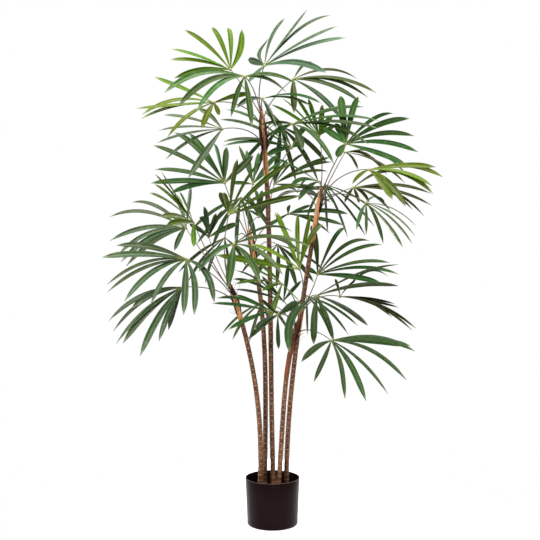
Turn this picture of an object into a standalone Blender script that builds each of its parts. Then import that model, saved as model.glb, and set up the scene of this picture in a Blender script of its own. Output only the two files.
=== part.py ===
# A model lady palm: five cane stems in a plain round pot, with palm fronds of
# separate leaflets on thin stalks. Metres, +Z up, the front towards -Y.
# The origin is the centre of the pot's flat underside.

import math
import random

import bmesh
import bpy
from mathutils import Matrix, Vector
from mathutils.bvhtree import BVHTree

# Pot, and the ballast that fills it
POT_HEIGHT = 0.171
POT_RIM_RADIUS = 0.0975
POT_BASE_RADIUS = 0.0905
POT_WALL = 0.003
POT_FLOOR = 0.004
POT_CORNER = 0.007
POT_CORNER_STEPS = 3
POT_SIDES = 36
FILL_TOP = 0.118
GAP = 0.0003

# Canes
CANE_SIDES = 10
CANE_STEP = 0.085
CANE_FOOT_RADIUS = 0.0088
CANE_TOP_RADIUS = 0.0078
CANE_TIP_RADIUS = 0.0045
CANE_TIP_LENGTH = 0.05
CANE_SEARCH_STEPS = 40

# Stalks, and the knots at their ends
STALK_RADIUS = 0.0019
STALK_SIDES = 3
STALK_STEPS = 5
STALK_LEAN = 0.45
STALK_REACH = 0.38
STALK_ARCH = 0.12
STALK_BEND = 0.75
STALK_SPARE = 0.5
STALK_START = 0.03
KNOT_RADIUS = 0.0065

# Leaflets
LEAF_ROOT = 0.004
LEAF_STATIONS = (0.30, 0.68)
LEAF_THICKNESS = 0.011
LEAF_ROOT_WIDTH = 0.14
LEAF_WIDEST = 0.55
LEAF_BREADTHS = (0.85, 1.2)
LEAF_ROOT_KEEL = 0.6
LEAF_DROOP = 2.4
LEAF_TWIST = 22.0
LEAF_SPARE = 0.0009

# Where a stalk or a leaflet would touch another piece it is moved by the first of these
# steps that clears it: a stalk goes round its cane in degrees, and a leaflet leans back
# or forward as a share of its length
STALK_TURNS = (0, 25, -25, 50, -50, 75, -75, 100, -100, 130, -130)
LEAF_LEANS = (0, 0.06, -0.06, 0.12, -0.12, 0.18, -0.18, 0.25, -0.25, 0.33, -0.33, 0.42, -0.42)

# Each cane is a cubic curve: its foot on the ballast, two handles and its top
CANES = {
    "left": ((-0.047, -0.026, 0.1183), (-0.026, -0.030, 0.42),
             (-0.078, -0.030, 0.66), (-0.153, -0.020, 0.875)),
    "midleft": ((-0.029, 0.008, 0.1183), (-0.023, 0.012, 0.50),
                (-0.014, 0.030, 0.76), (-0.087, 0.045, 1.060)),
    "tall": ((0.004, 0.024, 0.1183), (-0.013, 0.020, 0.60),
             (0.003, 0.020, 1.05), (-0.040, 0.010, 1.490)),
    "midright": ((0.018, -0.030, 0.1183), (0.042, -0.040, 0.36),
                 (0.030, -0.055, 0.60), (0.103, -0.060, 0.770)),
    "right": ((0.050, 0.000, 0.1183), (0.048, 0.004, 0.50),
              (0.114, 0.010, 0.85), (0.174, 0.020, 1.215)),
}

# One row for each frond: its cane, the height where its stalk leaves that cane, the place of
# its knot, where its upper face looks (degrees round from the front, then degrees up), how
# far a leaflet sags as a share of its length, leaflet width in millimetres and tone. Then its
# leaflets: direction in degrees round the face from the right, and length in millimetres, with
# the sag of its own that a stiffer or limper leaflet has.
FRONDS = (
    ("tall", 1.470, (-0.149, 0.060, 1.627), (30, 15), 0.15, 17, "lime",
     {66: (170, 0), 84: (255, 0.35), 102: (220, 0.25), 132: 235, 155: 240, 165: 235, 182: 220}),
    ("tall", 1.485, (-0.028, -0.100, 1.624), (-30, 15), 0.15, 19, "blue",
     {0: 235, 24: 320, 34: 305, 52: (350, 0.3), 54: (235, 0), 76: 205, 91: 115, 153: 80, 224: (80, 0)}),
    ("tall", 1.450, (-0.092, -0.260, 1.571), (30, 30), 0.40, 20, "mid",
     {10: 170, 13: (220, 0.25), 168: 280, 170: (235, 0.6), 181: (175, 0.65), 232: 125, 267: (120, 0.5)}),
    ("tall", 1.460, (0.074, 0.040, 1.592), (-15, 45), 0.30, 17, "olive",
     {6: 155, 10: 295, 12: (265, 0.4), 37: (260, 0.4), 77: 185, 281: 125, 324: (235, 0.2), 355: 245}),
    ("tall", 1.420, (-0.195, -0.200, 1.491), (30, 30), 0.10, 16, "lime",
     {22: 170, 155: (215, 0), 169: (255, 0.35), 182: (265, 0.2), 187: (290, 0), 198: (195, 0.35),
      226: (90, 0.35), 279: 45}),
    ("tall", 1.360, (-0.172, -0.120, 1.408), (30, 30), 0.15, 18, "grey",
     {117: (130, 0.25), 156: 215, 173: 230, 184: 245, 194: (230, 0.25), 223: 225}),
    ("tall", 1.480, (-0.037, -0.020, 1.519), (-45, 30), 0.25, 16, "dark",
     {6: 220, 9: 265, 173: 140, 323: 140}),
    ("tall", 1.400, (0.068, -0.120, 1.425), (-30, 45), 0.20, 20, "dark",
     {3: (280, 0.3), 11: 300, 18: 305, 36: 265, 164: 165, 202: 75, 308: 120, 339: (195, 0.45)}),
    ("tall", 1.200, (0.069, 0.120, 1.352), (30, 30), 0.25, 17, "dark",
     {36: 80, 55: (220, 0.35), 102: 230, 128: 325, 139: 315, 158: 270, 162: 270, 182: 105}),
    ("tall", 1.120, (0.007, 0.100, 1.222), (-45, 45), 0.25, 16, "olive",
     {40: 220, 51: (240, 0.15), 53: 250, 91: 255, 108: 230, 359: (210, 0.05)}),
    ("right", 1.180, (0.174, 0.240, 1.401), (-45, -45), 0.15, 14, "lime",
     {30: 135, 42: 200, 53: (185, 0), 67: 245, 80: 240, 97: 240, 116: 235}),
    ("right", 1.190, (0.247, -0.160, 1.356), (0, 0), 0.25, 20, "vivid",
     {8: 245, 21: 245, 35: 260, 50: (245, 0.35), 79: 215, 95: 215, 112: 100, 142: (95, 0.05), 226: 45,
      344: (210, 0.05)}),
    ("right", 1.170, (0.264, 0.140, 1.337), (-30, 45), 0.45, 14, "brown",
     {8: (160, 0.6), 10: (105, 0.3), 21: (245, 0.65), 339: (65, 0.7), 352: (250, 0.35)}),
    ("right", 1.160, (0.319, -0.240, 1.268), (-30, 60), 0.30, 20, "lime",
     {5: (220, 0.4), 6: 215, 22: (220, 0.15), 24: 245, 221: (60, 0.45), 321: 155, 327: 205}),
    ("right", 1.140, (0.287, 0.020, 1.209), (-15, 30), 0.50, 13, "brown",
     {5: (275, 0.3), 7: 250, 9: 210, 15: (280, 0.3), 46: 265, 231: 45, 303: 45, 348: (60, 0.7),
      353: 135}),
    ("right", 1.150, (0.318, -0.140, 1.157), (15, 60), 0.42, 16, "mid",
     {52: 180, 235: 105, 253: 115, 282: (120, 0.62), 289: (205, 0.22), 316: 175, 333: 170, 358: 180}),
    ("right", 1.195, (0.156, -0.100, 1.229), (-60, -45), 0.25, 16, "vivid",
     {55: 205, 127: (220, 0.15), 159: (135, 0.35), 191: 170, 280: 80}),
    ("right", 1.120, (0.093, 0.200, 1.195), (-60, 30), 0.20, 14, "dark",
     {2: 215, 5: 130, 15: 215, 91: (100, 0.45), 161: 155, 180: 165}),
    ("midleft", 1.045, (-0.072, 0.200, 1.222), (15, 45), 0.05, 15, "dark",
     {44: 215, 54: 215, 73: 195, 87: 200, 94: 225, 172: 80}),
    ("midleft", 1.030, (-0.167, -0.060, 1.225), (30, 30), 0.15, 19, "dark",
     {38: (185, 0), 72: (155, 0), 84: (250, 0.3), 103: (295, 0.25), 112: (320, 0.25), 138: 300, 158: 260,
      177: (275, 0.05), 181: 205}),
    ("midleft", 1.050, (-0.049, 0.160, 1.101), (-15, 60), 0.10, 14, "dark",
     {91: 190, 101: 250, 107: 270, 117: 220, 130: 85}),
    ("midleft", 1.000, (0.057, 0.120, 1.113), (-15, 60), 0.15, 17, "dark",
     {18: 220, 43: (95, 0), 101: 90, 231: (120, 0.05), 352: (160, 0.35), 356: 210}),
    ("midleft", 0.980, (-0.127, -0.280, 1.024), (-45, 45), 0.45, 20, "mid",
     {3: 215, 29: (280, 0.35), 38: (255, 0.55), 61: 245, 196: 150, 296: 125, 335: (205, 0.25)}),
    ("left", 0.865, (-0.146, -0.200, 1.119), (-30, 30), 0.20, 18, "olive",
     {23: (265, 0.1), 39: 285, 60: 315, 81: 275, 101: 290, 119: (105, 0.05), 123: 140}),
    ("left", 0.850, (-0.268, -0.160, 1.091), (75, 30), 0.12, 14, "lime",
     {66: 155, 101: (200, 0), 108: 230, 117: (225, 0.2), 136: (250, 0.2), 165: 240, 172: 220, 215: 125}),
    ("left", 0.860, (-0.311, 0.060, 1.064), (30, 30), 0.35, 18, "grey",
     {71: (225, 0.15), 90: 235, 127: 270, 146: 310, 166: 285, 179: 260, 180: (250, 0.45), 191: 245,
      217: (70, 0.6)}),
    ("left", 0.870, (-0.235, 0.160, 1.027), (45, -45), 0.05, 17, "dark",
     {41: 120, 102: 155, 110: 145, 127: 225, 131: (235, 0.2), 149: 170}),
    ("left", 0.835, (-0.291, -0.200, 0.969), (15, 30), 0.38, 20, "grey",
     {155: (250, 0.18), 166: (285, 0.18), 175: 265, 181: 265, 190: (215, 0.48), 209: (145, 0.58),
      261: 145, 275: 145, 309: 135}),
    ("left", 0.815, (-0.319, -0.020, 0.857), (0, 30), 0.42, 19, "grey",
     {182: 260, 184: (245, 0.57), 186: (180, 0.32), 204: 250, 208: 230, 229: 215, 240: 155,
      243: (100, 0.67)}),
    ("right", 0.800, (0.091, -0.160, 0.932), (15, 30), 0.05, 15, "lime",
     {65: (300, 0.3), 72: 235, 83: 235, 101: 240, 103: 240, 139: (200, 0.15), 165: 290}),
    ("right", 0.790, (0.162, 0.040, 0.899), (-15, 15), 0.25, 18, "dark",
     {2: (230, 0.15), 16: 300, 25: 280, 40: 290, 55: (305, 0.4), 74: (310, 0.4), 99: 245,
      151: (55, 0.05)}),
    ("right", 0.750, (0.148, -0.220, 0.848), (30, -45), 0.20, 23, "mid",
     {24: 300, 49: 320, 268: 235, 291: 215, 310: 240, 339: 275}),
    ("right", 0.770, (0.249, 0.140, 0.809), (0, 15), 0.30, 15, "brown",
     {0: (190, 0.4), 53: (305, 0.55), 57: 110, 101: 95, 353: 280, 355: (215, 0.1), 356: (265, 0.4),
      358: (200, 0.1)}),
    ("midright", 0.700, (0.203, -0.120, 0.682), (0, -45), 0.35, 20, "mid",
     {8: (270, 0.15), 22: 300, 202: (110, 0.45), 250: 160, 285: 225, 305: (230, 0.45), 322: 265,
      353: (265, 0.45)}),
    ("midright", 0.730, (0.038, -0.080, 0.815), (-45, -30), 0.15, 14, "dark",
     {36: (160, 0), 58: (190, 0), 116: (120, 0.05), 127: (235, 0.25), 140: (230, 0.25), 161: 220}),
    ("midright", 0.740, (0.031, -0.200, 0.885), (-45, -45), 0.10, 15, "lime",
     {105: 150, 130: 145, 168: (200, 0.2), 184: (100, 0.25), 225: (275, 0), 292: 85}),
    ("midright", 0.715, (-0.007, -0.160, 0.791), (60, 60), 0.10, 18, "dark",
     {115: (205, 0.25), 123: (130, 0), 149: 235, 182: 285}),
    ("midright", 0.700, (0.017, -0.240, 0.785), (-60, -15), 0.05, 18, "dark",
     {24: 175, 149: 100, 199: 195, 202: 275, 248: 130}),
    # The fronds at the back, which fill the crown out behind the canes
    ("tall", 1.340, (0.030, 0.300, 1.440), (180, 55), 0.28, 18, "dark",
     {215: 220, 235: 240, 255: 250, 275: 260, 295: 240, 315: 220}),
    ("right", 1.100, (0.200, 0.300, 1.220), (150, 55), 0.28, 18, "mid",
     {205: 200, 230: 220, 250: 240, 270: 240, 290: 230, 315: 200}),
    ("midleft", 0.960, (-0.120, 0.300, 1.170), (205, 55), 0.28, 18, "mid",
     {215: 200, 235: 230, 255: 240, 280: 240, 300: 230, 325: 200}),
    ("midleft", 0.930, (0.020, 0.340, 0.990), (175, 60), 0.28, 17, "dark",
     {210: 210, 235: 230, 255: 240, 275: 240, 300: 230, 320: 200}),
    ("left", 0.800, (-0.180, 0.260, 1.020), (210, 60), 0.28, 18, "dark",
     {220: 200, 240: 220, 265: 240, 285: 230, 310: 200}),
    ("right", 0.720, (0.130, 0.260, 0.800), (160, 60), 0.28, 18, "dark",
     {215: 210, 240: 230, 260: 240, 285: 230, 310: 210}),
    ("midright", 0.680, (-0.040, 0.190, 0.780), (195, 60), 0.28, 17, "mid",
     {225: 190, 245: 210, 270: 220, 290: 210, 310: 190}),
)

# Colour, roughness
FINISHES = {
    "pot": ((0.014, 0.008, 0.008), 0.42),
    "ballast": ((0.05, 0.04, 0.035), 0.90),
    "cane": ((0.18, 0.080, 0.042), 0.62),
    "lime": ((0.17, 0.30, 0.035), 0.45),
    "blue": ((0.10, 0.20, 0.13), 0.40),
    "mid": ((0.055, 0.17, 0.055), 0.40),
    "olive": ((0.12, 0.15, 0.03), 0.45),
    "grey": ((0.10, 0.18, 0.10), 0.42),
    "vivid": ((0.035, 0.17, 0.045), 0.40),
    "dark": ((0.025, 0.095, 0.035), 0.40),
    "brown": ((0.08, 0.055, 0.022), 0.55),
}


def finish(thing, name):
    material = bpy.data.materials.get(name)
    if material is None:
        colour, roughness = FINISHES[name]
        material = bpy.data.materials.new(name)
        material.use_nodes = True
        shader = material.node_tree.nodes["Principled BSDF"]
        shader.inputs["Base Color"].default_value = (*colour, 1.0)
        shader.inputs["Roughness"].default_value = roughness
        shader.inputs["Metallic"].default_value = 0.0
    thing.data.materials.clear()
    thing.data.materials.append(material)


def solid(name, bm, smooth_below=None):
    """Turn a bmesh into a named object in the scene."""
    bmesh.ops.recalc_face_normals(bm, faces=bm.faces)
    mesh = bpy.data.meshes.new(name)
    bm.to_mesh(mesh)
    bm.free()
    if smooth_below is not None:
        mesh.shade_smooth()
        mesh.set_sharp_from_angle(angle=math.radians(smooth_below))
    thing = bpy.data.objects.new(name, mesh)
    bpy.context.scene.collection.objects.link(thing)
    return thing


def skin(rings, tip=None):
    """Closed body through rings of equal counts, ending in a flat face or at a tip."""
    bm = bmesh.new()
    loops = [[bm.verts.new(point) for point in ring] for ring in rings]
    count = len(rings[0])
    bm.faces.new(list(reversed(loops[0])))
    for low, high in zip(loops, loops[1:]):
        for i in range(count):
            j = (i + 1) % count
            bm.faces.new((low[i], low[j], high[j], high[i]))
    if tip is None:
        bm.faces.new(loops[-1])
    else:
        point = bm.verts.new(tip)
        for i in range(count):
            bm.faces.new((loops[-1][i], loops[-1][(i + 1) % count], point))
    bmesh.ops.recalc_face_normals(bm, faces=bm.faces)
    bmesh.ops.triangulate(bm, faces=bm.faces)
    return bm


def turned(name, profile, steps):
    """Closed body turned from an (r, z) profile whose two ends lie on the axis."""
    bm = bmesh.new()
    verts = [bm.verts.new((radius, 0, height)) for radius, height in profile]
    edges = [bm.edges.new(pair) for pair in zip(verts, verts[1:])]
    bmesh.ops.spin(bm, geom=verts + edges, cent=(0, 0, 0), axis=(0, 0, 1),
                   angle=math.tau, steps=steps, use_merge=True)
    bmesh.ops.remove_doubles(bm, verts=bm.verts, dist=1e-6)
    return solid(name, bm, smooth_below=40)


def make_pot():
    slope = (POT_RIM_RADIUS - POT_BASE_RADIUS) / POT_HEIGHT
    corner = [(POT_BASE_RADIUS - POT_CORNER * (1 - math.sin(turn)), POT_CORNER * (1 - math.cos(turn)))
              for turn in (math.pi / 2 * i / POT_CORNER_STEPS for i in range(POT_CORNER_STEPS + 1))]
    inside_foot = POT_BASE_RADIUS + slope * POT_FLOOR - POT_WALL
    profile = [(0, 0)] + corner
    profile += [(POT_RIM_RADIUS, POT_HEIGHT), (POT_RIM_RADIUS - POT_WALL, POT_HEIGHT)]
    profile += [(inside_foot, POT_FLOOR), (0, POT_FLOOR)]
    pot = turned("pot", profile, POT_SIDES)
    finish(pot, "pot")

    foot = POT_FLOOR + GAP
    fit = POT_WALL + GAP
    fill = turned("ballast", [(0, foot), (POT_BASE_RADIUS + slope * foot - fit, foot),
                              (POT_BASE_RADIUS + slope * FILL_TOP - fit, FILL_TOP), (0, FILL_TOP)], POT_SIDES)
    finish(fill, "ballast")


def cubic(points, t):
    """Point and unit direction on a cubic curve of four points."""
    a, b, c, d = (Vector(point) for point in points)
    s = 1 - t
    place = a * s ** 3 + b * 3 * s * s * t + c * 3 * s * t * t + d * t ** 3
    along = (b - a) * s * s + (c - b) * 2 * s * t + (d - c) * t * t
    return place, along.normalized()


def ring(centre, along, radius, sides, towards=None):
    """Ring of points round a line, its first corner on the side named."""
    start = towards if towards is not None else Vector((1, 0, 0))
    x = (start - along * start.dot(along)).normalized()
    y = along.cross(x)
    turns = (math.tau * i / sides for i in range(sides))
    return [centre + (x * math.cos(turn) + y * math.sin(turn)) * radius for turn in turns]


def cane_radius(t):
    return CANE_FOOT_RADIUS + (CANE_TOP_RADIUS - CANE_FOOT_RADIUS) * t


def cane_at(cane, height):
    """The cane's curve value where it passes a height."""
    low, high = 0.0, 1.0
    for _ in range(CANE_SEARCH_STEPS):
        middle = (low + high) / 2
        if cubic(CANES[cane], middle)[0].z < height:
            low = middle
        else:
            high = middle
    return low


def make_cane(cane):
    points = CANES[cane]
    length = (Vector(points[3]) - Vector(points[0])).length
    steps = round(length / CANE_STEP)
    tip_start = 1 - CANE_TIP_LENGTH / length
    rings = []
    for i in range(steps + 1):
        t = tip_start * i / steps
        place, along = cubic(points, t)
        if i == 0:
            along = Vector((0, 0, 1))
        rings.append(ring(place, along, cane_radius(t), CANE_SIDES))
    place, along = cubic(points, 1)
    rings.append(ring(place, along, CANE_TIP_RADIUS, CANE_SIDES))
    thing = solid("cane_" + cane, skin(rings), smooth_below=50)
    finish(thing, "cane")
    return thing


def stalk_rings(cane, bark, height, knot, turn):
    """A stalk's rings: from the cane's bark up beside it, then over to the knot."""
    centre, along = cubic(CANES[cane], cane_at(cane, height))
    out = Matrix.Rotation(math.radians(turn), 3, "Z") @ Vector((knot.x - centre.x, knot.y - centre.y, 0))
    out = (out - along * out.dot(along)).normalized()
    meeting = bark.ray_cast(centre + out * STALK_START, -out)[0]
    foot = meeting + out * (GAP + STALK_RADIUS)
    reach = (knot - foot).length
    lift = (along + out * STALK_LEAN).normalized() * reach
    points = (foot, foot + lift * STALK_REACH, foot.lerp(knot, STALK_BEND) + lift * STALK_ARCH, knot)
    rings = []
    for i in range(STALK_STEPS + 1):
        place, heading = cubic(points, i / STALK_STEPS)
        rings.append(ring(place, heading, STALK_RADIUS, STALK_SIDES, -out))
    return rings


def face_axes(face):
    """The face's normal, its right and its up, from where it looks."""
    around, up = (math.radians(angle) for angle in face)
    normal = Vector((math.sin(around) * math.cos(up), -math.cos(around) * math.cos(up), math.sin(up)))
    right = Vector((math.cos(around), math.sin(around), 0))
    return normal, right, normal.cross(right)


def leaf_width(t):
    """A leaflet's width along its length, as a share of its greatest."""
    if t < LEAF_WIDEST:
        return LEAF_ROOT_WIDTH + (1 - LEAF_ROOT_WIDTH) * math.sin(math.pi / 2 * t / LEAF_WIDEST)
    return 1 - ((t - LEAF_WIDEST) / (1 - LEAF_WIDEST)) ** 2


def leaf_rings(knot, face, sag, width, clock, length, lean, twist, spare=0.0):
    """A leaflet's three-cornered rings and its tip: two edges and the keel below them."""
    normal, right, up = face_axes(face)
    turn = math.radians(clock)
    heading = right * math.cos(turn) + up * math.sin(turn) + Vector((0, lean, 0))
    flat = Matrix.Rotation(math.radians(twist), 3, heading) @ normal.cross(heading).normalized()
    rings = []
    for t in (LEAF_ROOT / length, *LEAF_STATIONS):
        centre = knot + (heading * t - Vector((0, 0, sag * t ** LEAF_DROOP))) * length
        along = heading - Vector((0, 0, LEAF_DROOP * sag * t ** (LEAF_DROOP - 1)))
        side = (flat - along * (flat.dot(along) / along.length_squared)).normalized()
        below = side.cross(along).normalized()
        if below.dot(normal) > 0:
            below.negate()
        half = width * leaf_width(t) / 2 + spare
        keel = LEAF_THICKNESS * length * (LEAF_ROOT_KEEL + (1 - LEAF_ROOT_KEEL) * leaf_width(t))
        lift = -below * spare
        rings.append([centre - side * half + lift, centre + side * half + lift,
                      centre + below * (keel + spare)])
    tip = knot + (heading - Vector((0, 0, sag))) * (length + spare)
    return rings, tip


def tree(bm):
    """The bmesh's surface, for finding what it touches, with the box around it."""
    spots = [vert.co.copy() for vert in bm.verts]
    box = [(min(spot[i] for spot in spots), max(spot[i] for spot in spots)) for i in range(3)]
    return BVHTree.FromBMesh(bm), box


def touches(shape, others):
    surface, box = shape
    for other, room in others:
        apart = any(box[i][0] > room[i][1] or box[i][1] < room[i][0] for i in range(3))
        if not apart and surface.overlap(other):
            return True
    return False


def grown_stalk(cane, bark, height, knot, taken):
    """The stalk by the first turn that keeps it clear of what stands already."""
    for turn in STALK_TURNS:
        rings = stalk_rings(cane, bark, height, knot, turn)
        roomy = []
        for corners in rings[1:]:
            middle = sum(corners, Vector()) / STALK_SIDES
            roomy.append([spot + (spot - middle) * STALK_SPARE for spot in corners])
        trial = skin(rings[:1] + roomy)
        clear = not touches(tree(trial), taken)
        trial.free()
        if clear:
            return skin(rings)
    return None


def grown_leaf(knot, face, sag, width, clock, length, twist, taken):
    """The leaflet by the first lean that keeps it clear of what stands already."""
    for lean in LEAF_LEANS:
        trial = skin(*leaf_rings(knot, face, sag, width, clock, length, lean, twist, LEAF_SPARE))
        clear = not touches(tree(trial), taken)
        trial.free()
        if clear:
            return skin(*leaf_rings(knot, face, sag, width, clock, length, lean, twist))
    return None


def is_closed(mesh):
    """Whether every edge has two faces."""
    bm = bmesh.new()
    bm.from_mesh(mesh)
    closed = all(edge.is_manifold for edge in bm.edges)
    bm.free()
    return closed


def joined(name, pieces):
    """One body from several that run into each other."""
    group = bpy.data.collections.new(name + "_pieces")
    bpy.context.scene.collection.children.link(group)
    core, *rest = [solid(name + "_piece", bm) for bm in pieces]
    for piece in rest:
        bpy.context.scene.collection.objects.unlink(piece)
        group.objects.link(piece)
    union = core.modifiers.new("union", "BOOLEAN")
    union.operation = "UNION"
    union.operand_type = "COLLECTION"
    union.collection = group
    for solver in ("EXACT", "MANIFOLD"):
        union.solver = solver
        bpy.context.view_layer.update()
        evaluated = core.evaluated_get(bpy.context.evaluated_depsgraph_get())
        mesh = bpy.data.meshes.new_from_object(evaluated)
        if is_closed(mesh):
            break
    core.modifiers.clear()
    core.data = mesh
    core.name = mesh.name = name
    for piece in rest:
        bpy.data.objects.remove(piece)
    bpy.data.collections.remove(group)
    return core


def make_fronds(canes):
    shapes = {}
    for cane, thing in canes.items():
        bm = bmesh.new()
        bm.from_mesh(thing.data)
        shapes[cane] = tree(bm)
        bm.free()
    taken = list(shapes.values())
    knots = []
    for row in FRONDS:
        knot = bmesh.new()
        bmesh.ops.create_icosphere(knot, subdivisions=1, radius=KNOT_RADIUS)
        bmesh.ops.translate(knot, verts=knot.verts, vec=row[2])
        knots.append((knot, tree(knot)))
    stalks = []
    for number, (cane, height, knot, *_) in enumerate(FRONDS, 1):
        knot = Vector(knot)
        others = taken + [shape for i, (_, shape) in enumerate(knots, 1) if i != number]
        others += [shape for _, shape in stalks]
        bark = shapes[cane][0]
        stalk = grown_stalk(cane, bark, height, knot, others)
        if stalk is None:
            print("no room for stalk", number)
            stalk = skin(stalk_rings(cane, bark, height, knot, 0))
        stalks.append((stalk, tree(stalk)))
    for number, row in enumerate(FRONDS, 1):
        cane, height, knot, face, sag, width, tone, leaves = row
        others = taken + [shape for i, (_, shape) in enumerate(knots, 1) if i != number]
        others += [shape for i, (_, shape) in enumerate(stalks, 1) if i != number]
        grown = []
        for clock, leaf in leaves.items():
            length, own_sag = leaf if isinstance(leaf, tuple) else (leaf, sag)
            dice = random.Random(number * 1000 + clock)
            broad = width * dice.uniform(*LEAF_BREADTHS) / 1000
            twist = dice.uniform(-LEAF_TWIST, LEAF_TWIST)
            leaf = grown_leaf(Vector(knot), face, own_sag, broad, clock, length / 1000, twist, others)
            if leaf is None:
                print("no room for leaflet", number, clock)
                continue
            grown.append(leaf)
        taken.extend(tree(leaf) for leaf in grown)
        thing = joined(f"frond_{number:02d}", [knots[number - 1][0], stalks[number - 1][0]] + grown)
        finish(thing, tone)


def main():
    for thing in list(bpy.data.objects):
        bpy.data.objects.remove(thing)
    make_pot()
    make_fronds({cane: make_cane(cane) for cane in CANES})


main()
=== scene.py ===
import math
import random

import bmesh
import bpy
from mathutils import Matrix, Vector, noise
from mathutils.bvhtree import BVHTree
from mathutils.kdtree import KDTree


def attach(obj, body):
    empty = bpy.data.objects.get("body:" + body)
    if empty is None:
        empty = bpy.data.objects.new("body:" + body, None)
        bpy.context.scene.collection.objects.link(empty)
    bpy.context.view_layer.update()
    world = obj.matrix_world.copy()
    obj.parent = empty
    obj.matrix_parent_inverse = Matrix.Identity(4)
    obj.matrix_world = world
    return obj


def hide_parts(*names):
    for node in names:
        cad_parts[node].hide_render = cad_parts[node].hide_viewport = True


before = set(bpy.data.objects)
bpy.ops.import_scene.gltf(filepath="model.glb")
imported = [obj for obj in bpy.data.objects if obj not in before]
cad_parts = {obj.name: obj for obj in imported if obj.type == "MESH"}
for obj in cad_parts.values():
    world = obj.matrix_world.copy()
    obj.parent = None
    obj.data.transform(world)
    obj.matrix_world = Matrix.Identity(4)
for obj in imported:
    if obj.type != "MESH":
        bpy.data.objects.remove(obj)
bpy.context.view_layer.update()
up = Vector((0, 0, 1))
sideways = Vector((1, 0, 0))


# Camera, light and floor

studio = {
    "camera": (-0.009, -3.9, 1.21),
    "lens": 73.5,
    "sensor": 36.0,
    "pitchDown": 4.29,       # degrees
    "backdrop": 1.0,         # white that the camera sees
    "ambientTop": 0.26,      # soft light from above
    "ambientSide": 0.07,
    "ambientRise": (-0.1, 0.9),
    "floorRadius": 0.95,
    "floorSides": 96,
    "floorColour": (0.86, 0.86, 0.86),
    "floorRoughness": 0.9,
    "floorGlow": 0.40,       # what brings the floor up to the backdrop's white
}

lamps = {
    # name: place, aim, size, power in watts, colour
    "keyLeft": ((-2.3, -2.9, 3.1), (0, 0, 1.0), 1.1, 190, (1.0, 0.985, 0.96)),
    "fillRight": ((2.6, -2.4, 2.2), (0, 0, 0.9), 1.2, 75, (0.97, 0.985, 1.0)),
    "top": ((0.2, -0.3, 3.9), (0, 0, 1.0), 1.6, 120, (1.0, 1.0, 1.0)),
    "backRight": ((2.4, 2.6, 2.6), (0, 0, 1.0), 1.4, 120, (1.0, 0.99, 0.97)),
    "backLeft": ((-2.8, 2.0, 1.9), (0, 0, 0.9), 1.4, 85, (0.97, 0.985, 1.0)),
}


def makeCamera():
    eye = bpy.data.cameras.new("camera")
    eye.lens = studio["lens"]
    eye.sensor_width = studio["sensor"]
    camera = bpy.data.objects.new("camera", eye)
    camera.location = studio["camera"]
    camera.rotation_euler = (math.radians(90 - studio["pitchDown"]), 0, 0)
    bpy.context.scene.collection.objects.link(camera)
    bpy.context.scene.camera = camera
    bpy.context.scene.view_settings.view_transform = "Standard"


def makeLamps():
    for name, (place, aim, size, power, colour) in lamps.items():
        lamp = bpy.data.lights.new(name, "AREA")
        lamp.size = size
        lamp.energy = power
        lamp.color = colour
        thing = bpy.data.objects.new(name, lamp)
        thing.location = place
        thing.rotation_euler = (Vector(aim) - Vector(place)).to_track_quat("-Z", "Y").to_euler()
        bpy.context.scene.collection.objects.link(thing)


def makeWorld():
    # a white backdrop for the camera, and a soft light that grows upwards for the plant
    world = bpy.data.worlds.new("studio")
    bpy.context.scene.world = world
    world.use_nodes = True
    nodes = world.node_tree.nodes
    links = world.node_tree.links
    nodes.clear()
    place = nodes.new("ShaderNodeTexCoord")
    split = nodes.new("ShaderNodeSeparateXYZ")
    links.new(place.outputs["Generated"], split.inputs[0])
    rise = nodes.new("ShaderNodeMapRange")
    low, high = studio["ambientRise"]
    rise.inputs["From Min"].default_value = low
    rise.inputs["From Max"].default_value = high
    rise.inputs["To Min"].default_value = studio["ambientSide"]
    rise.inputs["To Max"].default_value = studio["ambientTop"]
    links.new(split.outputs["Z"], rise.inputs["Value"])
    ambient = nodes.new("ShaderNodeBackground")
    links.new(rise.outputs[0], ambient.inputs["Strength"])
    white = nodes.new("ShaderNodeBackground")
    white.inputs["Strength"].default_value = studio["backdrop"]
    for light in (ambient, white):
        light.inputs["Color"].default_value = (1, 1, 1, 1)
    path = nodes.new("ShaderNodeLightPath")
    mix = nodes.new("ShaderNodeMixShader")
    links.new(path.outputs["Is Camera Ray"], mix.inputs[0])
    links.new(ambient.outputs[0], mix.inputs[1])
    links.new(white.outputs[0], mix.inputs[2])
    out = nodes.new("ShaderNodeOutputWorld")
    links.new(mix.outputs[0], out.inputs["Surface"])


def makeFloor():
    bm = bmesh.new()
    bmesh.ops.create_circle(bm, cap_ends=True, segments=studio["floorSides"], radius=studio["floorRadius"])
    floor = finished("floor", bm)
    mat, tree, shader = newMaterial("floorPaint")
    feed(tree, shader.inputs["Base Color"], studio["floorColour"])
    feed(tree, shader.inputs["Roughness"], studio["floorRoughness"])
    feed(tree, shader.inputs["Emission Color"], (1.0, 1.0, 1.0))
    feed(tree, shader.inputs["Emission Strength"], studio["floorGlow"])
    floor.data.materials.append(mat)


# Small helpers for meshes

mergeGap = 1e-6


def finished(name, bm, sharpAngle=None):
    # with an angle the piece is shaded smooth, but for its sharper edges
    mesh = bpy.data.meshes.new(name)
    bm.to_mesh(mesh)
    bm.free()
    if sharpAngle is not None:
        mesh.shade_smooth()
        mesh.set_sharp_from_angle(angle=math.radians(sharpAngle))
    thing = bpy.data.objects.new(name, mesh)
    bpy.context.scene.collection.objects.link(thing)
    return thing


def finishPiece(name, bm, mat, sharpAngle=60):
    thing = finished(name, bm, sharpAngle)
    thing.data.materials.append(mat)
    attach(thing, "root")
    return thing


def layers(bm, *names):
    # one value a vertex, for the materials to read
    bm.loops.layers.uv.verify()
    return [bm.verts.layers.float.get(name) or bm.verts.layers.float.new(name) for name in names]


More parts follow.
